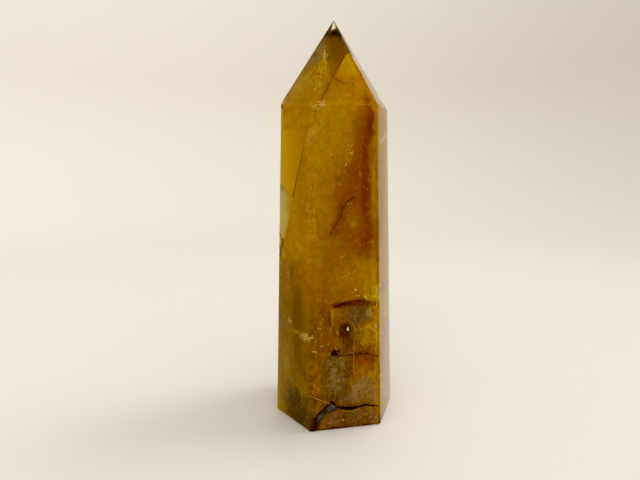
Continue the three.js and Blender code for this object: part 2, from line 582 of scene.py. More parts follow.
# %% Upper front: gold, dust and the brown band
zones.on(front)
zones.lay(AMBER, (1, 120), (9, 24), 0.6, 0.5)
zones.lay(GOLD, (-8, 127), (8, 15), 0.7, 0.5, speckled=0.5)
zones.lay(GOLDEN, (-6, 130), (9, 13), 0.5, 0.6)
zones.lay(DUSTY_GOLD, (-12, 125), (3.6, 15), 0.75, 0.6, breakup=2.5, fibrous=0.4, speckled=0.6)
zones.lay(GOLDEN, (-12.5, 100), (2, 12), 0.5, 0.6, fibrous=0.3)
zones.lay(DEEP_AMBER, (-4, 78), (11, 11), 0.6, 0.5)
zones.lay(RUST, (3.5, 103), (7, 10), 0.75, 0.6)
zones.lay(RUST, (5, 90), (8, 13), 0.7, 0.5)
zones.lay(RUST, (8.3, 118), (4.5, 13), 0.75, 0.6)
zones.lay(RUST, (7.6, 111), (4.2, 9), 0.8, 0.6)
zones.lay(RUST, (9.6, 130), (3.4, 11), 0.8, 0.6)
zones.lay(DARK_RUST, (8.8, 114), (1.4, 9), 0.6, 0.6)
zones.lay(DARK_RUST, (10.9, 132), (1.3, 7), 0.9, 0.5)
zones.lay(DARK_RUST, (9.2, 121), (0.9, 6), 0.7, 0.6)
zones.lay(DARK_RUST, (9.4, 101), (2.2, 10), 0.85, 0.5)
zones.lay(RUST, (-1.6, 95), (1.6, 5), 0.8, 0.5)
zones.lay(RUST, (-4, 88), (1.6, 4), 0.6, 0.6)
zones.lay(AMBER, (3.8, 92), (2.6, 4.5), 0.6, 0.6)
zones.lay(GOLDEN, (4.2, 90.3), (1.3, 1.1), 0.7, 0.6)
zones.lay(AMBER, (5.8, 83), (1.3, 1.1), 0.8, 0.6)
zones.lay(DARK_RUST, (9.4, 80.5), (3.4, 5.5), 0.7, 0.7)
zones.lay(DARK_RUST, (10.5, 88), (2.0, 6), 0.6, 0.6)
# Painted light: an orange glow up the right edge, where light bleeds through the thin stone.
zones.lay(ORANGE, (13.9, 118), (0.9, 22), 0.7, 0.5)
# Painted light: a gold glow band up the edge with the left face.
zones.lay(GOLD, (-14.8, 78), (0.9, 18), 0.5, 0.6)
zones.lay(RUST, (13.8, 82), (1.6, 9), 0.6, 0.6)
zones.lay(AMBER, (12.8, 108), (0.9, 8), 0.6, 0.5)

# %% Middle of the front: bright fibres and the arch
zones.lay(DULL_AMBER, (-11, 60), (4.5, 11), 0.6, 0.5, fibrous=0.1)
zones.lay(GOLDEN, (12.2, 60), (3.6, 6.5), 0.95, 0.6, fibrous=1.0, speckled=0.5)
zones.lay(BRIGHT_GOLD, (13.8, 59.8), (2.2, 4.2), 1.0, 0.5, fibrous=1.0)
zones.lay(DUSTY_GOLD, (13.9, 59.2), (1.1, 2.0), 0.9, 0.6, breakup=2.5)
zones.lay(BRIGHT_GOLD, (9.4, 58.6), (1.6, 1.0), 0.8, 0.6, fibrous=0.5)
zones.lay(GOLD, (2, 68), (4, 3), 0.5, 0.6, fibrous=0.4)

# %% Lower front: the crowded foot
zones.lay(DULL_AMBER, (0, 30), (18, 26), 0.85, 0.35, breakup=1.0, crowded=0.8)
zones.lay(BROWN, (-9, 52), (5, 2.4), 0.5, 0.6, crowded=1.0)
zones.lay(UMBER, (6.2, 50.8), (5.0, 5.9), 1.0, 0.3, breakup=1.6, crowded=0.3)
zones.lay(TAN, (11.2, 51.4), (1.5, 2.4), 0.9, 0.5, speckled=1.0)
zones.lay(ARCH_RED, (-1.5, 55.4), (4.5, 1.2), 0.9, 0.4)
zones.lay(ARCH_RED, (5, 56.0), (5, 1.4), 1.0, 0.35)
zones.lay(ARCH_RED, (11, 55.1), (4.4, 1.2), 0.9, 0.4)
zones.lay(ORANGE, (13.9, 50), (1.6, 4.5), 0.8, 0.5)
zones.lay(BROWN, (1.4, 39.2), (2.7, 4.6), 0.9, 0.25, breakup=1.0, crowded=0.4)
zones.lay(DEEP_BROWN, (0.6, 44.4), (3.2, 3.6), 0.95, 0.25, breakup=1.0)
zones.lay(PALE_SPOT, (-3.0, 43.6), (0.7, 1.3), 0.95, 0.4)
zones.lay(DEEP_AMBER, (-13, 48.5), (3, 3.6), 0.6, 0.5, crowded=0.8)
zones.lay(RUST, (-12.8, 49.4), (0.9, 2.4), 0.8, 0.5)
zones.lay(DARK_RUST, (-6.9, 49), (0.5, 0.9), 0.8, 0.5)
zones.lay(GOLDEN, (-5.3, 51.2), (0.8, 2.6), 0.8, 0.6)
zones.lay(GOLDEN, (-13.6, 52.9), (1.6, 0.9), 0.7, 0.6, breakup=2.5)
zones.lay(GOLD, (10.5, 42), (4.6, 4.4), 0.9, 0.4, speckled=0.45, crowded=1.0)
zones.lay(MAUVE, (6, 43), (4.4, 3.6), 0.35, 0.5, speckled=0.5, crowded=1.0)
zones.lay(RUST, (9.5, 30.3), (6, 2.8), 0.9, 0.45)
zones.lay(ORANGE, (9.5, 24.8), (5.6, 3.2), 0.95, 0.5, crowded=0.6)
zones.lay(GOLD, (12.5, 23), (2.6, 2.4), 0.8, 0.5)
zones.lay(BROWN, (-3.2, 22.6), (7, 11), 0.9, 0.3, speckled=0.5, crowded=1.0)
zones.lay(MAUVE, (-3.6, 29.2), (5.8, 4.6), 0.95, 0.5, breakup=1.8, speckled=1.0)
zones.lay(MAUVE, (-4.2, 20.4), (6, 4.4), 0.95, 0.5, breakup=1.8, speckled=1.0)
zones.lay(MAUVE, (2, 13.6), (7, 3.2), 0.9, 0.5, speckled=0.5)
zones.lay(TAN, (9.2, 16.8), (6.6, 6), 1.0, 0.5, breakup=1.8, speckled=1.0, crowded=0.3)
zones.lay(DEEP_AMBER, (-13.4, 20), (2.2, 15), 0.9, 0.4, fibrous=0.3, crowded=0.9)
zones.lay(GOLD, (14.8, 26), (1.3, 15), 0.9, 0.5, fibrous=0.4)
zones.lay(GOLDEN, (14.6, 43), (1.3, 8), 0.6, 0.6, fibrous=0.8, speckled=0.6)
zones.lay(PALE_TIP, (14.6, 13), (1.5, 5), 0.95, 0.6, speckled=0.6)
zones.lay(BASE_RED, (4, 3), (16, 5.2), 0.95, 0.3, speckled=0.4, crowded=0.8)
zones.lay(BASE_BROWN, (-13.6, 2.6), (2.4, 4), 0.9, 0.4)

# %% Left face: gold above, brown and olive below
zones.on(left)
zones.lay(AMBER, (7, 104), (5, 22), 0.8, 0.5, 5)
zones.lay(GOLD, (11, 98), (1.2, 12), 0.6, 0.5, 3, fibrous=0.7)
zones.lay(OLIVE, (0, 40), (15, 34), 0.9, 0.4, 7, breakup=1.0, crowded=0.35)
zones.lay(DULL_AMBER, (-1, 67), (8, 8), 0.8, 0.5, 6)
zones.lay(LEFT_BAND, (-0.8, 69), (1.2, 5), 0.5, 0.6, 5)
zones.lay(LEFT_BAND, (3, 59), (1.6, 4), 0.5, 0.6, 5)
# Painted light: a gold glow band up the edge with the front.
zones.lay(GOLD, (12.6, 76), (1.4, 18), 0.7, 0.6, 4)
zones.lay(LEFT_BAND, (3.4, 49), (3.6, 10), 0.95, 0.5, 6, crowded=0.3)
zones.lay(LEFT_BAND, (4, 34), (3, 7), 0.9, 0.5, 6, fibrous=0.1)
zones.lay(BRIGHT_GOLD, (8.2, 41.6), (2.8, 1.5), 0.8, 0.7, 3, breakup=3.0, speckled=0.6)
zones.lay(GOLDEN, (-2.5, 46.4), (1.2, 1.7), 0.8, 0.7, 3, breakup=2.0)
zones.lay(GOLDEN, (2.6, 42.4), (1.9, 0.8), 0.5, 0.7, 3, breakup=2.0)
zones.lay(MOSS_GOLD, (-5.2, 23), (3.4, 9), 0.8, 0.6, 4, fibrous=0.1)
zones.lay(DEEP_AMBER, (10, 66), (4, 12), 0.5, 0.6, 4)
zones.lay(BASE_BROWN, (4, 6), (9.5, 9.5), 0.95, 0.5, 8, crowded=0.4)
zones.lay(OLIVE_GOLD, (-10, 12), (1.6, 10), 0.6, 0.5, 4)
zones.lay(ORANGE, (-9.5, 80), (1.3, 3), 0.9, 0.5, 2)

# %% Right face and the faces at the back
zones.on(right)
zones.lay(AMBER, (0, 105), (9, 24), 0.6, 0.6, 5, fibrous=0.5)
zones.lay(RUST, (2, 60), (9, 2.2), 0.7, 0.6, 4)
zones.lay(DEEP_AMBER, (-2, 20), (9, 14), 0.6, 0.6, 5, fibrous=0.4)
zones.on(back)
zones.lay(OLIVE_GOLD, (-4, 112), (7, 26), 0.7, 0.6, 6, fibrous=0.4)
zones.lay(RUST, (8, 84), (3.5, 30), 0.7, 0.6, 6)
zones.lay(DULL_AMBER, (0, 30), (17, 24), 0.8, 0.4, 7, crowded=0.8)
zones.lay(MAUVE, (5, 24), (5, 6), 0.9, 0.35, 6, speckled=0.8, crowded=1.0)
zones.lay(TAN, (-8, 40), (4.5, 5.5), 0.8, 0.4, 6, speckled=0.5, crowded=0.6)
zones.on(back_left)
zones.lay(LEFT_BAND, (-4, 34), (5, 14), 0.8, 0.5, 6, crowded=0.7)
zones.lay(ORANGE, (5, 62), (4, 9), 0.7, 0.6, 6, fibrous=0.4)
zones.on(back_right)
zones.lay(MAUVE, (3, 44), (5, 6), 0.8, 0.4, 6, speckled=0.7, crowded=0.9)
zones.lay(BASE_RED, (0, 6), (12, 7), 0.9, 0.4, 6, speckled=0.3, crowded=1.0)

# %% The part of the cloud inside the point
zones.on(tip_front, 1.2)
zones.lay(GOLDEN, (3.6, 156), (4.4, 7), 1.0, 0.5, 6)
zones.lay(AMBER, (0, 146), (8, 4), 0.6, 0.6, 6)
# Painted highlight: a thin gold line along the shoulder ridge, where the edge catches the light.
zones.lay(GOLDEN, (-1, 139.2), (13, 0.6), 0.7, 0.6, 6)
zones.lay(DUSTY_GOLD, (-10.5, 139), (3.4, 1.8), 0.9, 0.6, 6, breakup=2.5)
zones.lay(DARK_RUST, (10.4, 141), (1.6, 4), 0.7, 0.6, 4)

# %% Fibres, crystals, speckles, grain and dust
def matt(tree, skin, colour, roughness=0.6):
    feed(tree, skin.inputs["Base Color"], colour)
    skin.inputs["Roughness"].default_value = roughness
    skin.inputs["Specular IOR Level"].default_value = 0.0


zones.draw_fibres(fine)
zones.draw_crystals(fine)
zones.draw_speckles(fine)
zones.draw_grain(spot)
zones.draw_dots(fine, 850, 0.42, 0.07, BRIGHT_GOLD)
elsewhere = add(tree, "VectorMath", {0: fine, 1: (0.31, 0.17, 0.23)}, operation="ADD").outputs[0]
zones.draw_dots(elsewhere, 620, 0.40, 0.05, DEEP_RUST)
matt(tree, skin, zones.colour)
cloud.data.materials.append(cloud_stuff)
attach(cloud, "root")
print("cloud finish:", len(tree.nodes), "nodes")

# %% [markdown]
# ## The finish of the smoky tip
# It goes from near black under the clear apex, through brown, to amber lower down, and stays darkest
# along the healed break. On the left it turns to olive gold, with a paler band along its outer edge, and
# fine bright fibres run down the edge between the two facets.

# %% Smoke finish
smoke_stuff, tree, skin, output = new_material("smoky_tip")
spot = add(tree, "TexCoord").outputs["Object"]
broad = place_group(tree, wandering, {"Place": spot, "Scale": 150, "Drift": 4 * MM})
height = add(tree, "SeparateXYZ", {0: broad}).outputs["Z"]
colour = blend_colours(tree, smooth_step(tree, height, 0.152, 0.159), (*SMOKY_AMBER, 1),
                       (*SMOKY_BROWN, 1))
zones = Zones(tree, broad, colour)
zones.on(left, 1.4)
zones.lay(AMBER, (2, 138), (14, 4), 0.8, 0.5, 6)
zones.lay(GOLD, (0, 132), (16, 3.6), 0.95, 0.6, 9)
zones.on(tip_left, 1.2)
zones.lay(TIP_GOLD, (-1, 146), (9, 10), 0.9, 0.5, 5, fibrous=0.15)
zones.lay(TIP_TAN, (-2, 160), (5, 6), 0.8, 0.6, 5)
zones.lay(DEEP_BROWN, (-2.6, 160.5), (2.2, 1.2), 0.6, 0.6, 4)
zones.lay(AMBER, (3.5, 152), (2, 9), 0.6, 0.6, 4, fibrous=0.7)
zones.on(tip_front, 1.2)
zones.lay(DEEP_BROWN, (0.6, 166), (4, 4), 0.9, 0.6, 6)
zones.lay(DEEP_BROWN, (1.6, 160.5), (2.6, 3.4), 0.7, 0.7, 6)
zones.lay(GOLD, (-6.4, 152), (1.8, 5), 0.6, 0.6, 5)
zones.lay(DEEP_BROWN, (-0.4, 155.6), (1.8, 3.2), 0.6, 0.7, 6)
zones.lay(DEEP_BROWN, (-3.2, 151.2), (1.4, 3), 0.5, 0.7, 6)
zones.lay(DEEP_BROWN, (-5.9, 146), (1.1, 2.8), 0.4, 0.7, 6)
zones.lay(AMBER, (-9.5, 147), (2.0, 8), 0.7, 0.6, 3, fibrous=0.3)
zones.lay(GOLD, (-5.8, 159), (0.7, 7), 0.7, 0.6, 3, fibrous=0.8)
zones.lay(DEEP_BROWN, (-5.3, 158), (1.5, 0.8), 0.8, 0.6, 3)
zones.lay(SMOKE, (0.2, 169.6), (4.0, 2.4), 1.0, 0.5, 8, breakup=2.5)
zones.draw_fibres(broad)
zones.draw_grain(spot)
matt(tree, skin, zones.colour)
smoke.data.materials.append(smoke_stuff)
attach(smoke, "root")
print("smoke finish:", len(tree.nodes), "nodes")

# %% [markdown]
# ## Honey quartz
# The skin is plain glass with the bending power of quartz. Its body soaks up blue strongly, green
# a little and red hardly at all, so thin edges look like straw and deep ones like honey. The tint on
# its mirror-like shine keeps the pale room from greying the colour. Fine wipe marks in the polish vary
# the roughness a little, and a very shallow waviness is left from the grinding wheel.

# %% Quartz finish
ABSORBED_PER_METRE = (20, 38, 170)
densest = max(ABSORBED_PER_METRE)
honey, tree, skin, output = new_material("honey_quartz")
spot = add(tree, "TexCoord").outputs["Object"]
wiped = add(tree, "Mapping", {"Vector": spot, "Rotation": (0.4, 0.9, 0.3),
            "Scale": (1, 1, 0.08)}).outputs[0]
wipe_marks = noise(tree, wiped, 1500, 3.0, 0.6)
feed(tree, skin.inputs["Roughness"], smooth_step(tree, wipe_marks, 0.45, 0.75, 0.014, 0.045))
waviness = add(tree, "Bump", {"Height": noise(tree, spot, 130, 2.0), "Strength": 0.4,
               "Distance": 0.01 * MM})
feed(tree, skin.inputs["Normal"], waviness.outputs["Normal"])
skin.inputs["Base Color"].default_value = (1, 1, 1, 1)
skin.inputs["Transmission Weight"].default_value = 1.0
skin.inputs["IOR"].default_value = 1.544
skin.inputs["Specular Tint"].default_value = (0.35, 0.15, 0.0, 1)
body = tree.nodes.new("ShaderNodeVolumeAbsorption")
body.inputs["Density"].default_value = densest
body.inputs["Color"].default_value = (*(1 - share / densest for share in ABSORBED_PER_METRE), 1)
tree.links.new(body.outputs["Volume"], output.inputs["Volume"])
stone.data.materials.append(honey)
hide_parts("obelisk")
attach(stone, "root")
print("absorbed per metre, red, green and blue:", ABSORBED_PER_METRE)

# %% [markdown]
# ## Finishes of the things inside
# A crack, a flake or a crust is never one even colour: each finish here runs between a darker and a
# lighter tone over fine noise. The glints are flat crystal faces that mirror the room, so they are made
# as small mirrors, far brighter than any paint behind the honey layer. The cream and gold ones are matt,
# and so stay bright from every side; many of the cream grains are painted glints, matt cream paint in
# place of a mirror's flash.

# %% Mottled finishes
def mottled(name, dark, light, scale, roughness=0.5, metallic=0.0):
    material, tree, skin, output = new_material(name)
    spot = add(tree, "TexCoord").outputs["Object"]
    share = smooth_step(tree, noise(tree, spot, scale), 0.35, 0.65)
    feed(tree, skin.inputs["Base Color"], blend_colours(tree, share, (*dark, 1), (*light, 1)))
    skin.inputs["Roughness"].default_value = roughness
    skin.inputs["Metallic"].default_value = metallic
    return material


# Black cracks; the same black also paints the shade round the pit's glint.
black_break_and_painted_shade = mottled("black_break_and_painted_shade", (0.006, 0.004, 0.003), (0.06, 0.03, 0.015), 900)
rust_break = mottled("rust_break", (0.10, 0.025, 0.003), (0.34, 0.10, 0.004), 900)
brown_break = mottled("brown_break", (0.20, 0.07, 0.004), (0.42, 0.17, 0.006), 900)
# Pale cracks; the same pale finish also paints highlights on the shoulder ridge and along the blade
# hollow's rim.
pale_break_and_painted_highlight = mottled("pale_break_and_painted_highlight", (0.60, 0.36, 0.10), (0.98, 0.78, 0.42), 900)
glint = mottled("glint", (0.94, 0.64, 0.18), (1.0, 0.84, 0.42), 900, 0.35, 1.0)
gold_flake = mottled("gold_flake", (0.82, 0.56, 0.08), (1.0, 0.80, 0.26), 700)
pale_speck = mottled("pale_speck", (0.70, 0.48, 0.16), (1.0, 0.80, 0.40), 900)
white_glint = mottled("white_glint", (0.96, 0.90, 0.82), (1.0, 0.98, 0.96), 900, 0.3, 1.0)
# Cream flecks; the same cream also makes painted glints, matt paint in place of a mirror's flash.
cream_flecks_and_painted_glints = mottled("cream_flecks_and_painted_glints", (0.92, 0.66, 0.16), (1.0, 0.84, 0.40), 900)
dark_speck = mottled("dark_speck", (0.10, 0.04, 0.004), (0.26, 0.10, 0.006), 900)
bruised_polish = mottled("bruised_polish", (0.80, 0.74, 0.62), (1.0, 0.97, 0.90), 900)
gold_fan = mottled("gold_fan", (0.70, 0.40, 0.012), (1.0, 0.74, 0.13), 1100)
# Dark hollow; its lighter blue-grey tone is a painted sheen.
hollow_dark_and_painted_sheen = mottled("hollow_dark_and_painted_sheen", (0.02, 0.02, 0.04), (0.11, 0.10, 0.20), 420)

# %% [markdown]
# ## Standing a flat drawing behind a face
# Cracks and flakes are drawn flat, across on X and up on Y, and then stood behind the polish of a face.
# Near an edge, a wide piece could reach through the next face, so whatever would is sawn off. The saw
# leaves a square end, which shows from behind on the two cracks at the left corner. Only a bruise on the
# polish itself may stand a hair proud.

# %% From the drawing to the stone
UNDER_POLISH = 0.15 * MM


def on_face(piece, face, behind):
    for vertex in piece.data.vertices:
        across, up, outwards = vertex.co / MM
        vertex.co = face.at(across, up, behind - outwards)
    piece.data.update()


def keep_inside(piece, margin):
    for normal, offset in ground_planes:
        furthest = max(normal.dot(vertex.co) for vertex in piece.data.vertices)
        if furthest > offset - margin:
            cut(piece, normal * (offset - margin), normal)


def finish_piece(piece, material, margin=UNDER_POLISH):
    keep_inside(piece, margin)
    edit(piece)
    bpy.ops.mesh.normals_make_consistent(inside=False)
    leave_edit()
    piece.data.materials.clear()
    piece.data.materials.append(material)
    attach(piece, "root")
    measure(piece)


# %% [markdown]
# ## Cracks
# A crack is a break seen edge-on. It starts as a smooth curve through a few places on the face, which
# becomes a ribbon that runs back into the stone. Noise makes the ribbon wander, Solidify gives it
# thickness, and a second, finer noise frays it, so it is thick in places and nearly gone in others.

# %% Make a crack
frayed = bpy.data.textures.new("frayed", "CLOUDS")
frayed.noise_scale = 1.1 * MM
frayed.noise_depth = 3


def crack(name, face, line, behind, depth, thickness, material, wander=0.6, margin=UNDER_POLISH):
    bpy.ops.object.select_all(action="DESELECT")
    bpy.ops.curve.primitive_bezier_curve_add()
    ribbon = bpy.context.active_object
    ribbon.name = name
    path = ribbon.data
    path.dimensions = "2D"
    path.fill_mode = "NONE"
    path.resolution_u = 8
    path.extrude = depth / 2 * MM
    spline = path.splines[0]
    spline.bezier_points.add(len(line) - 2)
    for knot, (across, up) in zip(spline.bezier_points, line):
        knot.co = (across * MM, up * MM, 0)
        knot.handle_left_type = "AUTO"
        knot.handle_right_type = "AUTO"
    pick(ribbon)
    bpy.ops.object.convert(target="MESH")
    edit(ribbon)
    bpy.ops.mesh.subdivide(number_cuts=1)
    leave_edit()
    apply_modifier(ribbon, "DISPLACE", "wander", texture=frayed, texture_coords="LOCAL",
                   strength=wander * MM, mid_level=0.5)
    apply_modifier(ribbon, "SOLIDIFY", "thickness", thickness=thickness * MM, offset=0)
    apply_modifier(ribbon, "DISPLACE", "frayed", texture=frayed, texture_coords="LOCAL",
                   strength=thickness * 1.5 * MM, mid_level=0.6)
    on_face(ribbon, face, behind + depth / 2)
    finish_piece(ribbon, material, margin)


# %% Cracks of the front
crack("curved_crack", front, [(4.3, 101), (2, 99.8), (0, 98), (-1.3, 95.5), (-2, 92.5), (-3.8, 89.5),
      (-6.5, 85.5)], 1.5, 1.0, 0.18, brown_break)
crack("arch_crack", front, [(-4.5, 54.8), (-1, 55.9), (3, 56.7), (8, 56.6), (11.6, 55.7), (14, 54.7)],
      1.2, 1.6, 0.36, rust_break, 0.9)
crack("ledge_crack", front, [(-6, 33.8), (-3, 33.4), (0, 33.2), (3.5, 33.1), (8, 33.3), (11.5, 32.6),
      (15, 31.4)], 1.2, 2.0, 0.22, rust_break)
crack("upright_crack", front, [(3.9, 34), (3.9, 31), (3.8, 27.5), (4.2, 23)], 0.9, 1.0, 0.16,
      gold_flake, 0.4)
crack("hair_upright", front, [(4.6, 45.0), (4.3, 41.5), (4.1, 38.5), (4.1, 35.4)], 0.8, 0.6, 0.12,
      gold_flake, 0.3)
crack("hair_arc", front, [(6.2, 45.6), (5.0, 43.6), (4.8, 41.6)], 0.8, 0.5, 0.12, gold_flake, 0.3)
crack("hair_fork", front, [(6.6, 44.6), (6.9, 42.2), (6.2, 40.2)], 0.8, 0.5, 0.1, gold_flake, 0.3)
crack("hair_corner", front, [(9.8, 40.4), (11.2, 43.2), (12.4, 44.2), (13.6, 42.2), (14.8, 40.2)],
      0.8, 0.5, 0.14, gold_flake, 0.3)
crack("hair_patch", front, [(3.8, 52.0), (4.2, 50.0), (4.9, 47.8)], 0.8, 0.5, 0.2, pale_break_and_painted_highlight, 0.3)
crack("black_crack", front, [(-4.5, 10), (-2, 9.7), (0, 9.5), (3, 8.8), (6, 9.2), (10, 9.6), (12, 9.2),
      (15, 8.4)], 0.5, 5.0, 0.35, black_break_and_painted_shade, 0.9)
crack("black_crack_thick", front, [(-2.6, 9.5), (-0.5, 9.1), (1.5, 8.7), (3.6, 8.6), (5.4, 8.9)],
      0.5, 5.0, 1.0, black_break_and_painted_shade)
crack("black_crack_end", front, [(10, 9.3), (11.6, 9.2), (13.4, 8.8)], 0.5, 5.0, 0.6, black_break_and_painted_shade)
crack("pale_lip", front, [(-1.4, 8.2), (0.6, 7.7), (2.2, 7.5), (3.6, 7.3), (4.4, 7.9), (6.4, 8.3)],
      0.3, 1.0, 0.22, cream_flecks_and_painted_glints, 0.9)
crack("ring_bubble", front, [(-2.6, 136.7), (-3.4, 136.7), (-3.8, 136), (-3.3, 135.4), (-2.6, 135.4),
      (-2.3, 136), (-2.4, 136.5)], 0.8, 0.3, 0.2, pale_break_and_painted_highlight, 0.1)
# Painted highlight: a short bright dash on the right of the shoulder ridge.
crack("shoulder_highlight", front, [(6.8, 138.1), (8.6, 138.0), (10.8, 138.3)], 0.6, 0.5, 0.2, pale_break_and_painted_highlight, 0.2)
crack("dark_dash", front, [(-1.4, 117.6), (-0.9, 116.4)], 1.2, 0.6, 0.2, brown_break, 0.2)

# %% Cracks of the left face, and those that turn its corner
crack("pale_vein_left", left, [(-4, 19.8), (0, 18.7), (4, 17.5), (8, 16.8), (12.6, 16.3)],
      0.35, 0.8, 0.1, gold_flake)
crack("pale_vein_front", front, [(-15.0, 16.2), (-12, 14.6), (-9, 13), (-6.5, 11.8), (-4.8, 10)],
      0.3, 0.8, 0.2, cream_flecks_and_painted_glints)
crack("edge_crack", left, [(-11.0, 84.4), (-10, 83.4), (-8.8, 80.6), (-7.6, 78.6), (-5.4, 76.4)],
      0.6, 2.0, 0.4, black_break_and_painted_shade, 0.8)
crack("edge_crack_rust", left, [(-11.4, 80), (-10.4, 77), (-10.8, 73.5)], 0.8, 2.0, 0.5, rust_break, 0.8)
crack("left_faint_line", left, [(-12, 37.8), (-8, 37.9), (-3, 37.4), (3, 37.5)], 1.2, 0.6, 0.12,
      brown_break, 0.4)

# %% Cracks of the right face and the point
crack("right_white_line", right, [(-7.4, 122.6), (-3.8, 124), (0, 125.3), (5, 126.8), (9, 127.6)],
      -0.05, 0.3, 0.35, bruised_polish, 0.1, margin=-0.04 * MM)
crack("right_cracks", right, [(-12, 58), (-8, 60.5), (-4, 59.6), (0, 62), (5, 61)], 0.9, 0.8, 0.3,
      brown_break)
crack("right_streak", right, [(-7, 96), (-6.6, 84), (-7.2, 74), (-6.8, 66)], 0.9, 0.6, 0.25, pale_break_and_painted_highlight)
crack("right_streak_low", right, [(-3, 52), (-2.4, 44), (-3, 34)], 0.9, 0.6, 0.25, pale_break_and_painted_highlight)
crack("tip_streak_left", tip_left, [(2.4, 163.8), (1.6, 157), (0.9, 151.2), (2.0, 146)], 0.6, 0.5, 0.3,
      gold_flake, 0.3)
crack("tip_streak_edge", tip_front, [(-5.2, 161.6), (-6.9, 155.4), (-8.3, 150), (-9.4, 145)], 0.6, 0.5, 0.3,
      gold_flake, 0.3)
crack("tip_dash_left", tip_front, [(-8.9, 150.8), (-7.8, 150.3), (-6.2, 149.8)], 0.7, 0.4, 0.22,
      rust_break, 0.3)
crack("tip_dash_right", tip_front, [(-2.4, 149.0), (-0.4, 147.8), (1.6, 146.8)], 0.7, 0.4, 0.22,
      rust_break, 0.3)

# %% [markdown]
# ## Hollows, and a sheet of painted light
# Two flat plates show their face. One is a blade-shaped hollow at the foot of the front, dark like a
# slot in ice; the lighter blue-grey of its finish is a painted sheen, and a pale line along its rim is a
# painted highlight. The other is painted light: a pale straw sheet in the clear stone high on the left,
# laid flat like a break, that stands for the bright room seen through the clear stone. It lies near the
# polish at the outer edge and sinks as it goes in, so the honey over it deepens from pale straw to
# olive. Each is an outline filled as one face, made thick, and worn along its rim. The pits are ragged:
# the noise that frays the cracks pushes their rims in and out. Two golden fans are made the same way:
# bright flakes of crystal just above the arch, thin and close behind the polish.

# %% Make a plate
def plate(name, face, outline, behind, thickness, material, wear=0.1, lean=0.0, ragged=0.0):
    bpy.ops.object.select_all(action="DESELECT")
    bpy.ops.mesh.primitive_circle_add(vertices=len(outline), radius=MM, fill_type="NGON")
    sheet = bpy.context.active_object
    sheet.name = name
    outermost = min(across for across, up in outline)
    for vertex, (across, up) in zip(sheet.data.vertices, outline):
        vertex.co = (across * MM, up * MM, -lean * (across - outermost) * MM)
    edit(sheet)
    bpy.ops.mesh.subdivide(number_cuts=4)
    bpy.ops.mesh.extrude_region_move(TRANSFORM_OT_translate={"value": (0, 0, -thickness * MM)})
    leave_edit()
    if ragged:
        apply_modifier(sheet, "DISPLACE", "ragged", texture=frayed, texture_coords="LOCAL",
                       strength=ragged * MM, mid_level=0.5)
    on_face(sheet, face, behind)
    apply_modifier(sheet, "BEVEL", "worn rim", width=wear * MM, segments=2)
    finish_piece(sheet, material)


# %% Hollows of the front
plate("blade_hollow", front, [(-13.1, 3.0), (-13.2, 5.2), (-12.0, 7.2), (-10.4, 8.6), (-8.4, 10.4),
      (-6.0, 12.2), (-5.0, 11.8), (-3.4, 10.0), (-4.2, 8.6), (-6.0, 8.4), (-8.0, 7.8), (-9.8, 5.8),
      (-11.4, 4.6), (-12.4, 3.0)], 0.45, 1.5, hollow_dark_and_painted_sheen, ragged=0.8)
crack("blade_top", front, [(-13.0, 4.8), (-11.6, 7.6), (-9.8, 9.2), (-7.8, 11.2), (-6.0, 12.4),
      (-4.6, 11.4)], 0.4, 1.5, 0.4, black_break_and_painted_shade, 0.4)
plate("ledge_pit", front, [(-6.4, 33.8), (-6.2, 34.8), (-5.2, 35.2), (-4.4, 36.2), (-3.6, 35.4),
      (-2.4, 35.6), (-2.2, 34.4), (-3.2, 34.0), (-4.2, 33.4), (-5.6, 33.4)], 1.0, 0.8, black_break_and_painted_shade,
      ragged=1.6)
# Painted shade: a black plate for the shadow round the pit's glint.
plate("pit_shadow", front, [(0.3, 44.2), (0.2, 45.6), (0.8, 46.4), (1.6, 46.3), (2.2, 45.2),
      (2.0, 43.8), (1.2, 43.4)], 1.4, 0.6, black_break_and_painted_shade, ragged=1.2)
# Painted highlight: a pale line along the rim of the blade hollow.
crack("blade_rim_highlight", front, [(-12.9, 4.4), (-12.2, 6.0), (-11.0, 6.8), (-9.4, 6.9), (-7.6, 8.6)],
      0.35, 0.3, 0.12, pale_break_and_painted_highlight, 0.3)
crack("blade_tail", front, [(-13.0, 3.4), (-13.1, 2.2), (-12.8, 1.0)], 0.5, 1.5, 0.3, black_break_and_painted_shade, 0.3)

# %% Golden fans above the arch
plate("gold_fan", front, [(12.3, 57.2), (11.2, 58.6), (12.5, 59.6), (12.9, 62.2), (13.3, 66.0),
      (13.8, 62.8), (14.8, 60.6), (14.9, 57.6), (13.8, 57.2)], 0.4, 0.2, gold_fan, ragged=1.6)
plate("gold_fan_small", front, [(7.9, 58.6), (9.2, 60.2), (10.6, 59.4), (10.9, 58.2), (9.8, 57.5)],
      0.4, 0.2, gold_fan, ragged=1.6)

# %% Painted light on the left face
painted_light_finish, tree, skin, output = new_material("painted_light_plane")
spot = add(tree, "TexCoord").outputs["Object"]
drifting = place_group(tree, wandering, {"Place": spot, "Scale": 160, "Drift": 4 * MM})
zones = Zones(tree, drifting, (*STRAW, 1))
zones.on(left, 2.5)
zones.lay(PALE_STRAW, (-8.5, 92), (3.6, 11), 0.9, 0.6, 9)
zones.lay(DEEP_STRAW, (-8, 105), (7, 1.6), 0.8, 0.6, 9)
feed(tree, skin.inputs["Base Color"], zones.colour)
skin.inputs["Roughness"].default_value = 0.5
# Painted light: a pale straw sheet that stands for the bright room seen through the clear stone.
plate("painted_light_plane", left, [(-11.8, 106.0), (-9.6, 106.6), (-7.4, 105.2), (-5.4, 103.4),
      (-3.6, 102.0), (-1.6, 101.0), (-0.2, 100.6), (-1.6, 96), (-3.2, 90.6), (-4.7, 85.6), (-6.0, 81.6),
      (-7.4, 81.8), (-9.0, 83.6), (-10.4, 85.4), (-11.8, 86)], 0.8, 0.4, painted_light_finish, lean=0.28)

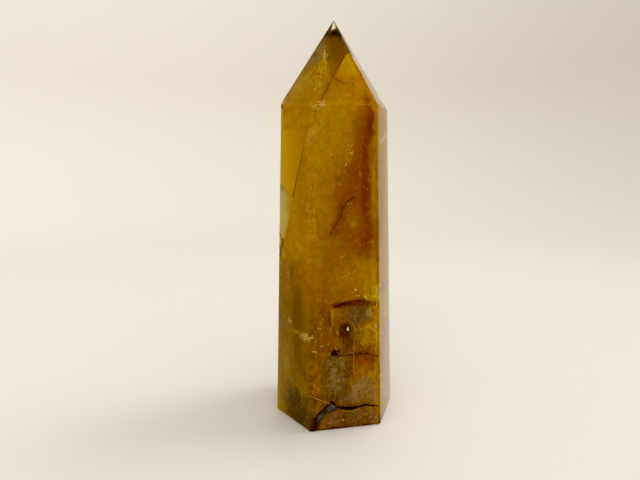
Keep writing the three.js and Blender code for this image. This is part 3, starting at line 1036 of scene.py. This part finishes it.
# %% [markdown]
# ## Glints, needles and specks
# The small bright things are grains strewn near the polish: round ones glint, long ones are needles,
# and the finest make a dusty veil. One grain is modelled, an uneven little crystal with twenty flat
# faces. Each copy has its own mesh and is stretched, turned and tilted by a throw of seeded dice.

# %% Model one grain
bpy.ops.object.select_all(action="DESELECT")
bpy.ops.mesh.primitive_ico_sphere_add(subdivisions=1, radius=0.5 * MM)
grain_pattern = bpy.context.active_object
edit(grain_pattern)
bpy.ops.transform.resize(value=(1, 1, 0.4))
bpy.ops.transform.vertex_random(offset=0.09 * MM, seed=3)
leave_edit()
measure(grain_pattern)

# %% Strew grains
dice = random.Random(7)
STEEPEST = 0.35
NEAREST = 0.35
DEEPEST = 1.2


def one_grain(face, across, up, behind, wide, tall, lean):
    grain = grain_pattern.data.copy()
    turn = radians(lean)
    tilt_across = dice.uniform(-STEEPEST, STEEPEST)
    tilt_up = dice.uniform(-STEEPEST, STEEPEST)
    for vertex in grain.vertices:
        x = vertex.co.x * wide * cos(turn) - vertex.co.y * tall * sin(turn)
        y = vertex.co.x * wide * sin(turn) + vertex.co.y * tall * cos(turn)
        z = vertex.co.z * wide + tilt_across * x + tilt_up * y
        vertex.co = face.at(across + x / MM, up + y / MM, behind - z / MM)
    return grain


def strew(name, material, clusters):
    """A cluster: face, middle, spread, count, width, stretch, lean in degrees, and wobble of the lean."""
    bpy.ops.object.select_all(action="DESELECT")
    copies = []
    for face, middle, spread, count, size, stretch, lean, wobble in clusters:
        for _ in range(count):
            across = dice.gauss(middle[0], spread[0])
            up = dice.gauss(middle[1], spread[1])
            wide = size * (dice.uniform(0.5, 1.2) if count > 1 else 1.0)
            tall = wide * stretch * (dice.uniform(0.6, 1.4) if count > 1 else 1.0)
            behind = dice.uniform(NEAREST, DEEPEST)
            turned = lean + dice.uniform(-wobble, wobble)
            if not deep_inside(face.at(across, up, behind), UNDER_POLISH + 0.5 * wide * MM):
                continue
            grain = one_grain(face, across, up, behind, wide, tall, turned)
            piece = bpy.data.objects.new(name, grain)
            bpy.context.scene.collection.objects.link(piece)
            piece.select_set(True)
            copies.append(piece)
    bpy.context.view_layer.objects.active = copies[0]
    bpy.ops.object.join()
    joined = copies[0]
    joined.name = name
    finish_piece(joined, material)


# %% Bright glints
ONE = (0, 0)
strew("pit_glint", white_glint, [
    (front, (1.2, 45.0), ONE, 1, 1.2, 1.7, 8, 0),
])
strew("bright_glints", glint, [
    (front, (-10.8, 137.6), (1.5, 0.7), 12, 0.5, 1.8, -40, 30),
    (front, (4.6, 62), ONE, 1, 1.43, 1.2, 20, 0),
    (front, (5.3, 59.4), (0.7, 0.4), 4, 0.59, 1.2, 0, 60),
    (front, (13.9, 59.4), (0.4, 1.2), 4, 0.6, 2.0, 0, 20),
    (front, (12.4, 61), (1.3, 2.2), 5, 0.42, 2.6, 0, 24),
    (front, (-13.4, 35.8), (0.8, 0.3), 3, 0.4, 2.2, 70, 20),
    (front, (-1, 3.6), (0.2, 0.3), 3, 1.04, 1.1, 0, 60),
    (front, (-7, 3.0), (0.2, 0.2), 2, 0.91, 1.1, 0, 60),
    (front, (9.4, 5.2), (0.4, 0.3), 3, 0.65, 1.1, 0, 60),
    (front, (11.4, 6.0), (0.4, 0.3), 3, 0.65, 1.1, 0, 60),
    (front, (3.4, 34.3), (0.3, 0.4), 3, 0.78, 1.1, 0, 60),
    (front, (3.2, 118.6), ONE, 1, 1.17, 1.2, 30, 0),
    (front, (1.6, 119.2), (0.3, 0.3), 2, 0.65, 1.4, 30, 30),
    (front, (-5.5, 118.2), ONE, 1, 0.78, 1.0, 30, 0),
    (front, (-0.7, 117), ONE, 1, 0.78, 3.6, 12, 0),
    (front, (0.5, 114.2), (0.2, 0.3), 2, 0.65, 1.2, 0, 60),
    (front, (-2.8, 110.5), (0.4, 0.2), 3, 0.65, 1.0, 0, 60),
    (front, (-2.1, 106.4), (0.3, 0.3), 3, 0.52, 1.2, 0, 60),
    (front, (6.4, 111.4), (0.2, 0.5), 2, 0.52, 2.4, 10, 10),
    (front, (2.3, 98.4), (0.4, 0.3), 2, 0.65, 1.0, 50, 20),
    (front, (-1, 76.6), (0.4, 0.3), 3, 0.91, 1.2, 60, 30),
    (left, (8.6, 41.8), (1.4, 0.7), 10, 0.6, 2.0, 20, 50),
    (left, (5.6, 40.6), (1.0, 0.6), 5, 0.5, 1.2, 20, 50),
    (left, (12.4, 44.6), (0.8, 0.6), 4, 0.55, 1.2, 20, 50),
    (left, (-2.4, 46.2), (0.8, 0.5), 4, 0.55, 2.0, -60, 20),
    (left, (2.2, 42.4), (0.5, 0.4), 4, 0.65, 1.6, 10, 40),
    (left, (13.2, 16.4), ONE, 1, 1.04, 1.0, 0, 0),
    (left, (-4.1, 66), (0.15, 0.9), 5, 0.39, 3.0, 5, 10),
    (left, (1.6, 68.8), (0.2, 1.0), 4, 0.39, 3.0, 0, 10),
])

# %% Golden needles
strew("gold_needles", gold_flake, [
    (front, (12.6, 60.4), (1.4, 2.6), 18, 0.36, 8.0, 4, 8),
    (front, (13.6, 59.4), (0.6, 1.2), 8, 0.7, 2.2, 4, 12),
    (front, (10.6, 64.5), (2.0, 3.0), 10, 0.28, 12.0, -6, 10),
    (front, (9, 42.5), (3.2, 2.4), 40, 0.38, 5.0, 50, 30),
    (front, (13, 42), (1.2, 3), 26, 0.51, 2.5, 20, 30),
    (front, (1.2, 69.0), (1.3, 1.2), 16, 0.46, 3.4, -20, 40),
    (front, (-11.5, 118), (1.8, 13), 60, 0.26, 4.5, 0, 14),
    (front, (-11.4, 114), (0.9, 8), 34, 0.38, 2.2, 20, 40),
    (front, (-13.0, 92), (0.4, 4.5), 26, 0.40, 2.8, 8, 20),
    (front, (-8, 126), (2.4, 6), 34, 0.3, 2.5, 10, 50),
    (front, (1.4, 120.5), (3.2, 3.4), 60, 0.43, 1.5, 30, 60),
    (front, (-13, 22), (1.0, 9), 26, 0.28, 2.4, 0, 30),
    (front, (-9, 48), (3, 5), 22, 0.34, 1.8, 20, 60),
    (front, (-5.2, 51), (0.4, 1.6), 4, 0.3, 5.0, 4, 6),
    (front, (0, 80), (9, 12), 50, 0.38, 1.4, 0, 60),
    (front, (-2, 104), (6, 12), 50, 0.35, 1.4, 0, 60),
    (left, (9.6, 95), (0.7, 5), 40, 0.38, 4.0, 8, 14),
    (left, (9, 123), (1.6, 8), 40, 0.35, 2.0, 8, 30),
    (left, (-3, 66), (3, 5), 10, 0.3, 2.5, 0, 30),
    (left, (2, 34), (6, 8), 14, 0.28, 1.6, 0, 60),
    (tip_front, (-9.6, 147), (1.0, 4), 12, 0.24, 14.0, -24, 4),
    (tip_front, (-6.2, 157), (0.6, 4), 9, 0.24, 18.0, -24, 3),
    (tip_front, (4, 155), (2.2, 3.5), 26, 0.29, 4.0, 10, 30),
    (tip_left, (4.4, 150), (1.4, 5), 12, 0.24, 16.0, 14, 5),
    (back, (-5, 112), (4, 16), 90, 0.41, 3.0, 0, 30),
    (back, (2, 42), (8, 8), 60, 0.43, 1.8, 20, 60),
    (back_left, (0, 62), (6, 10), 50, 0.41, 3.0, 10, 30),
    (back_right, (0, 80), (6, 26), 70, 0.41, 2.6, 0, 40),
    (right, (0, 60), (8, 30), 90, 0.38, 3.6, 0, 20),
])

# %% Pale and dark specks
# Cream flecks; the single large cream grains are painted glints, matt cream paint in place of a mirror's
# flash.
strew("cream_flecks_and_painted_glints", cream_flecks_and_painted_glints, [
    (front, (-14.1, 42.5), ONE, 1, 1.6, 0.65, 30, 0),
    (front, (-12.9, 40.3), ONE, 1, 0.8, 0.9, 0, 0),
    (front, (-11.6, 46.2), ONE, 1, 0.5, 3.0, 35, 0),
    (front, (-10.7, 46.1), ONE, 1, 0.45, 2.8, 40, 0),
    (front, (-8.4, 45.4), ONE, 1, 1.0, 1.4, 20, 0),
    (front, (-10.2, 38.1), ONE, 1, 1.2, 0.65, -30, 0),
    (front, (-6.9, 34.5), ONE, 1, 0.8, 1.3, 0, 0),
    (front, (-4.0, 36.5), ONE, 1, 0.6, 2.4, 40, 0),
    (front, (-3.2, 35.1), ONE, 1, 0.6, 1.2, 0, 0),
    (front, (-7.2, 38.6), ONE, 1, 0.7, 1.0, 0, 0),
    (front, (4.6, 62.0), ONE, 1, 1.3, 1.2, 20, 0),
    (front, (4.6, 59.2), ONE, 1, 0.8, 1.0, 0, 0),
    (front, (6.3, 59.3), ONE, 1, 0.9, 1.0, 30, 0),
    (front, (0.8, 57.9), ONE, 1, 0.8, 1.0, 0, 0),
    (front, (-12.8, 36.0), ONE, 1, 0.5, 3.4, 60, 0),
    (front, (4.0, 34.7), ONE, 1, 1.5, 1.1, 0, 0),
    (front, (3.9, 36.2), ONE, 1, 0.6, 1.8, 0, 0),
    (front, (13.8, 59.8), (0.4, 1.0), 5, 0.8, 1.9, 4, 12),
    (front, (10.0, 58.8), (0.7, 0.5), 7, 0.6, 1.2, 0, 40),
    (front, (13.2, 46.0), (0.7, 1.4), 16, 0.55, 2.0, 10, 40),
    (front, (11.3, 51.4), (0.7, 1.3), 26, 0.42, 1.4, 30, 60),
    (front, (9.4, 45.6), (0.7, 0.5), 6, 0.4, 1.8, 0, 60),
    (front, (-3.6, 29.6), (2.0, 1.7), 26, 0.26, 2.4, 40, 50),
    (front, (-4.6, 22), (2.0, 1.8), 26, 0.26, 2.4, 40, 50),
    (front, (9.6, 17.4), (2.4, 2.6), 20, 0.2, 3.0, 10, 30),
    (front, (-10.6, 137.2), (1.3, 0.8), 14, 0.5, 2.2, -40, 30),
    (front, (-9.6, 139), (1.2, 0.6), 6, 0.4, 2.6, -50, 20),
    (front, (-12.4, 131), (0.5, 3.0), 16, 0.26, 2.6, 0, 30),
    (left, (8.4, 41.6), (1.2, 0.7), 40, 0.5, 2.6, 20, 50),
    (left, (8.6, 41.6), (0.9, 0.5), 6, 0.8, 1.4, 20, 30),
    (left, (-2.6, 47.0), (0.3, 0.8), 4, 0.6, 1.8, -30, 20),
    (left, (5.4, 41.2), (0.7, 0.6), 8, 0.4, 1.4, 0, 50),
    (left, (12.2, 42.8), (0.7, 0.5), 6, 0.6, 1.4, 0, 50),
    (left, (-2.5, 46.4), (0.5, 0.9), 8, 0.36, 1.8, -30, 40),
    (front, (-14.6, 42.4), (0.6, 0.4), 5, 0.7, 1.3, 30, 30),
])
strew("pale_specks", pale_speck, [
    (front, (-5.4, 21), (2.6, 2.2), 60, 0.28, 1.2, 0, 60),
    (front, (-4.2, 30), (2.4, 1.8), 56, 0.28, 1.2, 0, 60),
    (front, (10, 51.8), (1.5, 1.7), 46, 0.36, 1.2, 0, 60),
    (front, (4.5, 52), (1.8, 2.4), 22, 0.26, 2.0, 20, 40),
    (front, (8.6, 17), (2.8, 3.2), 70, 0.22, 1.3, 0, 60),
    (front, (9, 40.5), (2.8, 2.6), 40, 0.28, 1.4, 30, 60),
    (front, (4, 4.2), (6, 1.8), 50, 0.26, 1.2, 0, 60),
    (front, (-12.7, 124.5), (0.7, 2.6), 60, 0.30, 1.3, 0, 60),
    (front, (-11.3, 137), (1.8, 1.0), 46, 0.30, 1.8, -40, 30),
    (front, (2, 122), (3.4, 5), 60, 0.22, 1.2, 0, 60),
    (left, (2, 10), (5, 4), 30, 0.22, 1.2, 0, 60),
    (back, (5, 24), (2.6, 3), 60, 0.32, 1.2, 0, 60),
    (back, (-8, 40), (2.4, 3), 46, 0.28, 2.4, 0, 30),
    (back_right, (3, 44), (2.6, 3), 50, 0.32, 1.2, 0, 60),
])
strew("dark_specks", dark_speck, [
    (front, (-2.3, 41.7), (0.3, 0.2), 3, 1.1, 0.7, 20, 20),
    (front, (-7, 50), (0.2, 0.3), 2, 0.6, 1.4, -40, 20),
    (front, (-13, 50), (0.3, 0.3), 3, 0.8, 0.8, 0, 60),
    (front, (14, 90), (0.2, 0.3), 2, 0.8, 0.8, 0, 60),
    (front, (11.5, 84), (0.2, 0.3), 2, 0.7, 0.8, 0, 60),
    (front, (-5, 25), (4, 5), 50, 0.34, 1.2, 0, 60),
    (front, (7, 14), (4, 3), 30, 0.26, 2.0, 0, 30),
    (front, (5, 52), (3, 2.4), 26, 0.30, 1.4, 0, 60),
    (front, (2, 6), (8, 2), 40, 0.36, 1.2, 0, 60),
    (front, (10.8, 128), (0.5, 6), 10, 0.26, 8.0, 4, 6),
    (front, (13.0, 116), (0.2, 9), 10, 0.18, 12.0, 2, 4),
    (left, (5, 38), (6, 1.6), 26, 0.36, 1.6, 60, 30),
    (left, (2, 50), (5, 8), 30, 0.30, 1.4, 0, 60),
    (back, (0, 30), (8, 10), 60, 0.34, 1.3, 0, 60),
    (back_left, (-3, 34), (5, 10), 40, 0.34, 1.3, 0, 60),
])
bpy.data.objects.remove(grain_pattern)

# %% [markdown]
# ## Camera
# The stone is seen from a little above its middle, slightly from the left, with a wide lens close to
# it. That is why its sides lean in towards the foot and its point looks tall.

# %% Set up the camera
HEADING = radians(79.516)
DIP = radians(9.077)
ROLL = radians(-0.287)
camera_data = bpy.data.cameras.new("camera")
camera_data.sensor_width = 36
camera_data.lens = 24.75
camera_data.clip_start = 0.01
camera = bpy.data.objects.new("camera", camera_data)
bpy.context.scene.collection.objects.link(camera)
bpy.context.scene.camera = camera
camera.location = (-0.04297, -0.19625, 0.11227)
gaze = Vector((cos(HEADING) * cos(DIP), sin(HEADING) * cos(DIP), -sin(DIP)))
camera.rotation_mode = "QUATERNION"
camera.rotation_quaternion = gaze.to_track_quat("-Z", "Y") @ Quaternion((0, 0, 1), ROLL)

# %% [markdown]
# ## Stage
# The floor is a plain pale sheet that curves up into a wall all round, so the stone stands in soft even
# surroundings from whichever side it is seen. It is a disc whose rim is extruded again and again along
# a quarter circle, and then straight up. It lies a hair below the stone's foot.

# %% Bend the stage
FLOOR_RADIUS = 0.55
COVE_RADIUS = 0.30
WALL_RISE = 0.37
COVE_STEPS = 14
WARM_PAPER = (0.735, 0.69, 0.62, 1)

bpy.ops.object.select_all(action="DESELECT")
bpy.ops.mesh.primitive_circle_add(vertices=96, radius=FLOOR_RADIUS, fill_type="NGON",
                                  location=(0, 0, -0.05 * MM))
bowl = bpy.context.active_object
bowl.name = "stage"
edit(bowl)
bpy.ops.mesh.select_mode(type="EDGE")
bpy.ops.mesh.region_to_loop()
for step in range(COVE_STEPS):
    start = pi / 2 * step / COVE_STEPS
    end = pi / 2 * (step + 1) / COVE_STEPS
    widen = (FLOOR_RADIUS + COVE_RADIUS * sin(end)) / (FLOOR_RADIUS + COVE_RADIUS * sin(start))
    bpy.ops.mesh.extrude_edges_move()
    bpy.ops.transform.resize(value=(widen, widen, 1))
    bpy.ops.transform.translate(value=(0, 0, COVE_RADIUS * (cos(start) - cos(end))))
bpy.ops.mesh.extrude_edges_move(TRANSFORM_OT_translate={"value": (0, 0, WALL_RISE)})
leave_edit()
bpy.ops.object.shade_smooth()
bowl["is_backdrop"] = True
measure(bowl)
paper, tree, skin, output = new_material("stage_paper")
skin.inputs["Base Color"].default_value = WARM_PAPER
skin.inputs["Roughness"].default_value = 0.7
bowl.data.materials.append(paper)

# %% [markdown]
# ## Light
# Two large soft lamps, a room of light all round that is stronger from the right, and a plain view
# curve. One high corner of the room, behind the stone and to its left, is dimmer: the point's left facet
# would mirror it and turn white. The curve's small black level gives the honey tones their depth.

# %% Lamps
def soft_light(name, place, aim, size, power):
    lamp = bpy.data.lights.new(name, "AREA")
    lamp.shape = "DISK"
    lamp.size = size
    lamp.energy = power
    light = bpy.data.objects.new(name, lamp)
    bpy.context.scene.collection.objects.link(light)
    light.location = place
    light.rotation_mode = "QUATERNION"
    light.rotation_quaternion = (Vector(aim) - Vector(place)).to_track_quat("-Z", "Y")


soft_light("key", (0.9, 0.1, 1.2), (0, 0, 0.05), 0.6, 6.0)
soft_light("fill", (-0.45, -0.8, 0.8), (0, 0, 0.08), 0.6, 3.0)

# %% Room of light and view
DARK_CORNER = Vector((-0.505, 0.508, 0.697)).normalized()
LEFT_GLOW = 0.53
RIGHT_GLOW = 1.75
CORNER_GLOW = 0.45
ROOM_COLOUR = (0.95, 0.97, 1, 1)
BLACK_LEVEL = (0.021, 0.021, 0.028)
world = bpy.data.worlds.new("soft_room")
bpy.context.scene.world = world
world.use_nodes = True
sky = world.node_tree
direction = add(sky, "TexCoord").outputs["Generated"]
sideways = add(sky, "SeparateXYZ", {0: direction}).outputs["X"]
glow = add(sky, "MapRange", {"Value": sideways, "From Min": -1.0, "From Max": 1.0, "To Min": LEFT_GLOW,
           "To Max": RIGHT_GLOW})
towards = add(sky, "VectorMath", {0: direction, 1: DARK_CORNER}, operation="DOT_PRODUCT").outputs["Value"]
dimming = smooth_step(sky, towards, 0.75, 0.97, 1.0, CORNER_GLOW)
background = sky.nodes["Background"]
background.inputs["Color"].default_value = ROOM_COLOUR
feed(sky, background.inputs["Strength"], maths(sky, "MULTIPLY", glow.outputs["Result"], dimming))
view = bpy.context.scene.view_settings
view.view_transform = "Standard"
view.use_curve_mapping = True
view.curve_mapping.black_level = BLACK_LEVEL
view.curve_mapping.update()

# %% [markdown]
# ## Sizes and the end
# The box of the finished looks is printed beside the block's own box.

# %% Finish
looks_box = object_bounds()
for name, box in (("CAD box", cad_box), ("looks box", looks_box)):
    print(name, "in mm:", [[round(place / MM, 2) for place in corner] for corner in box])
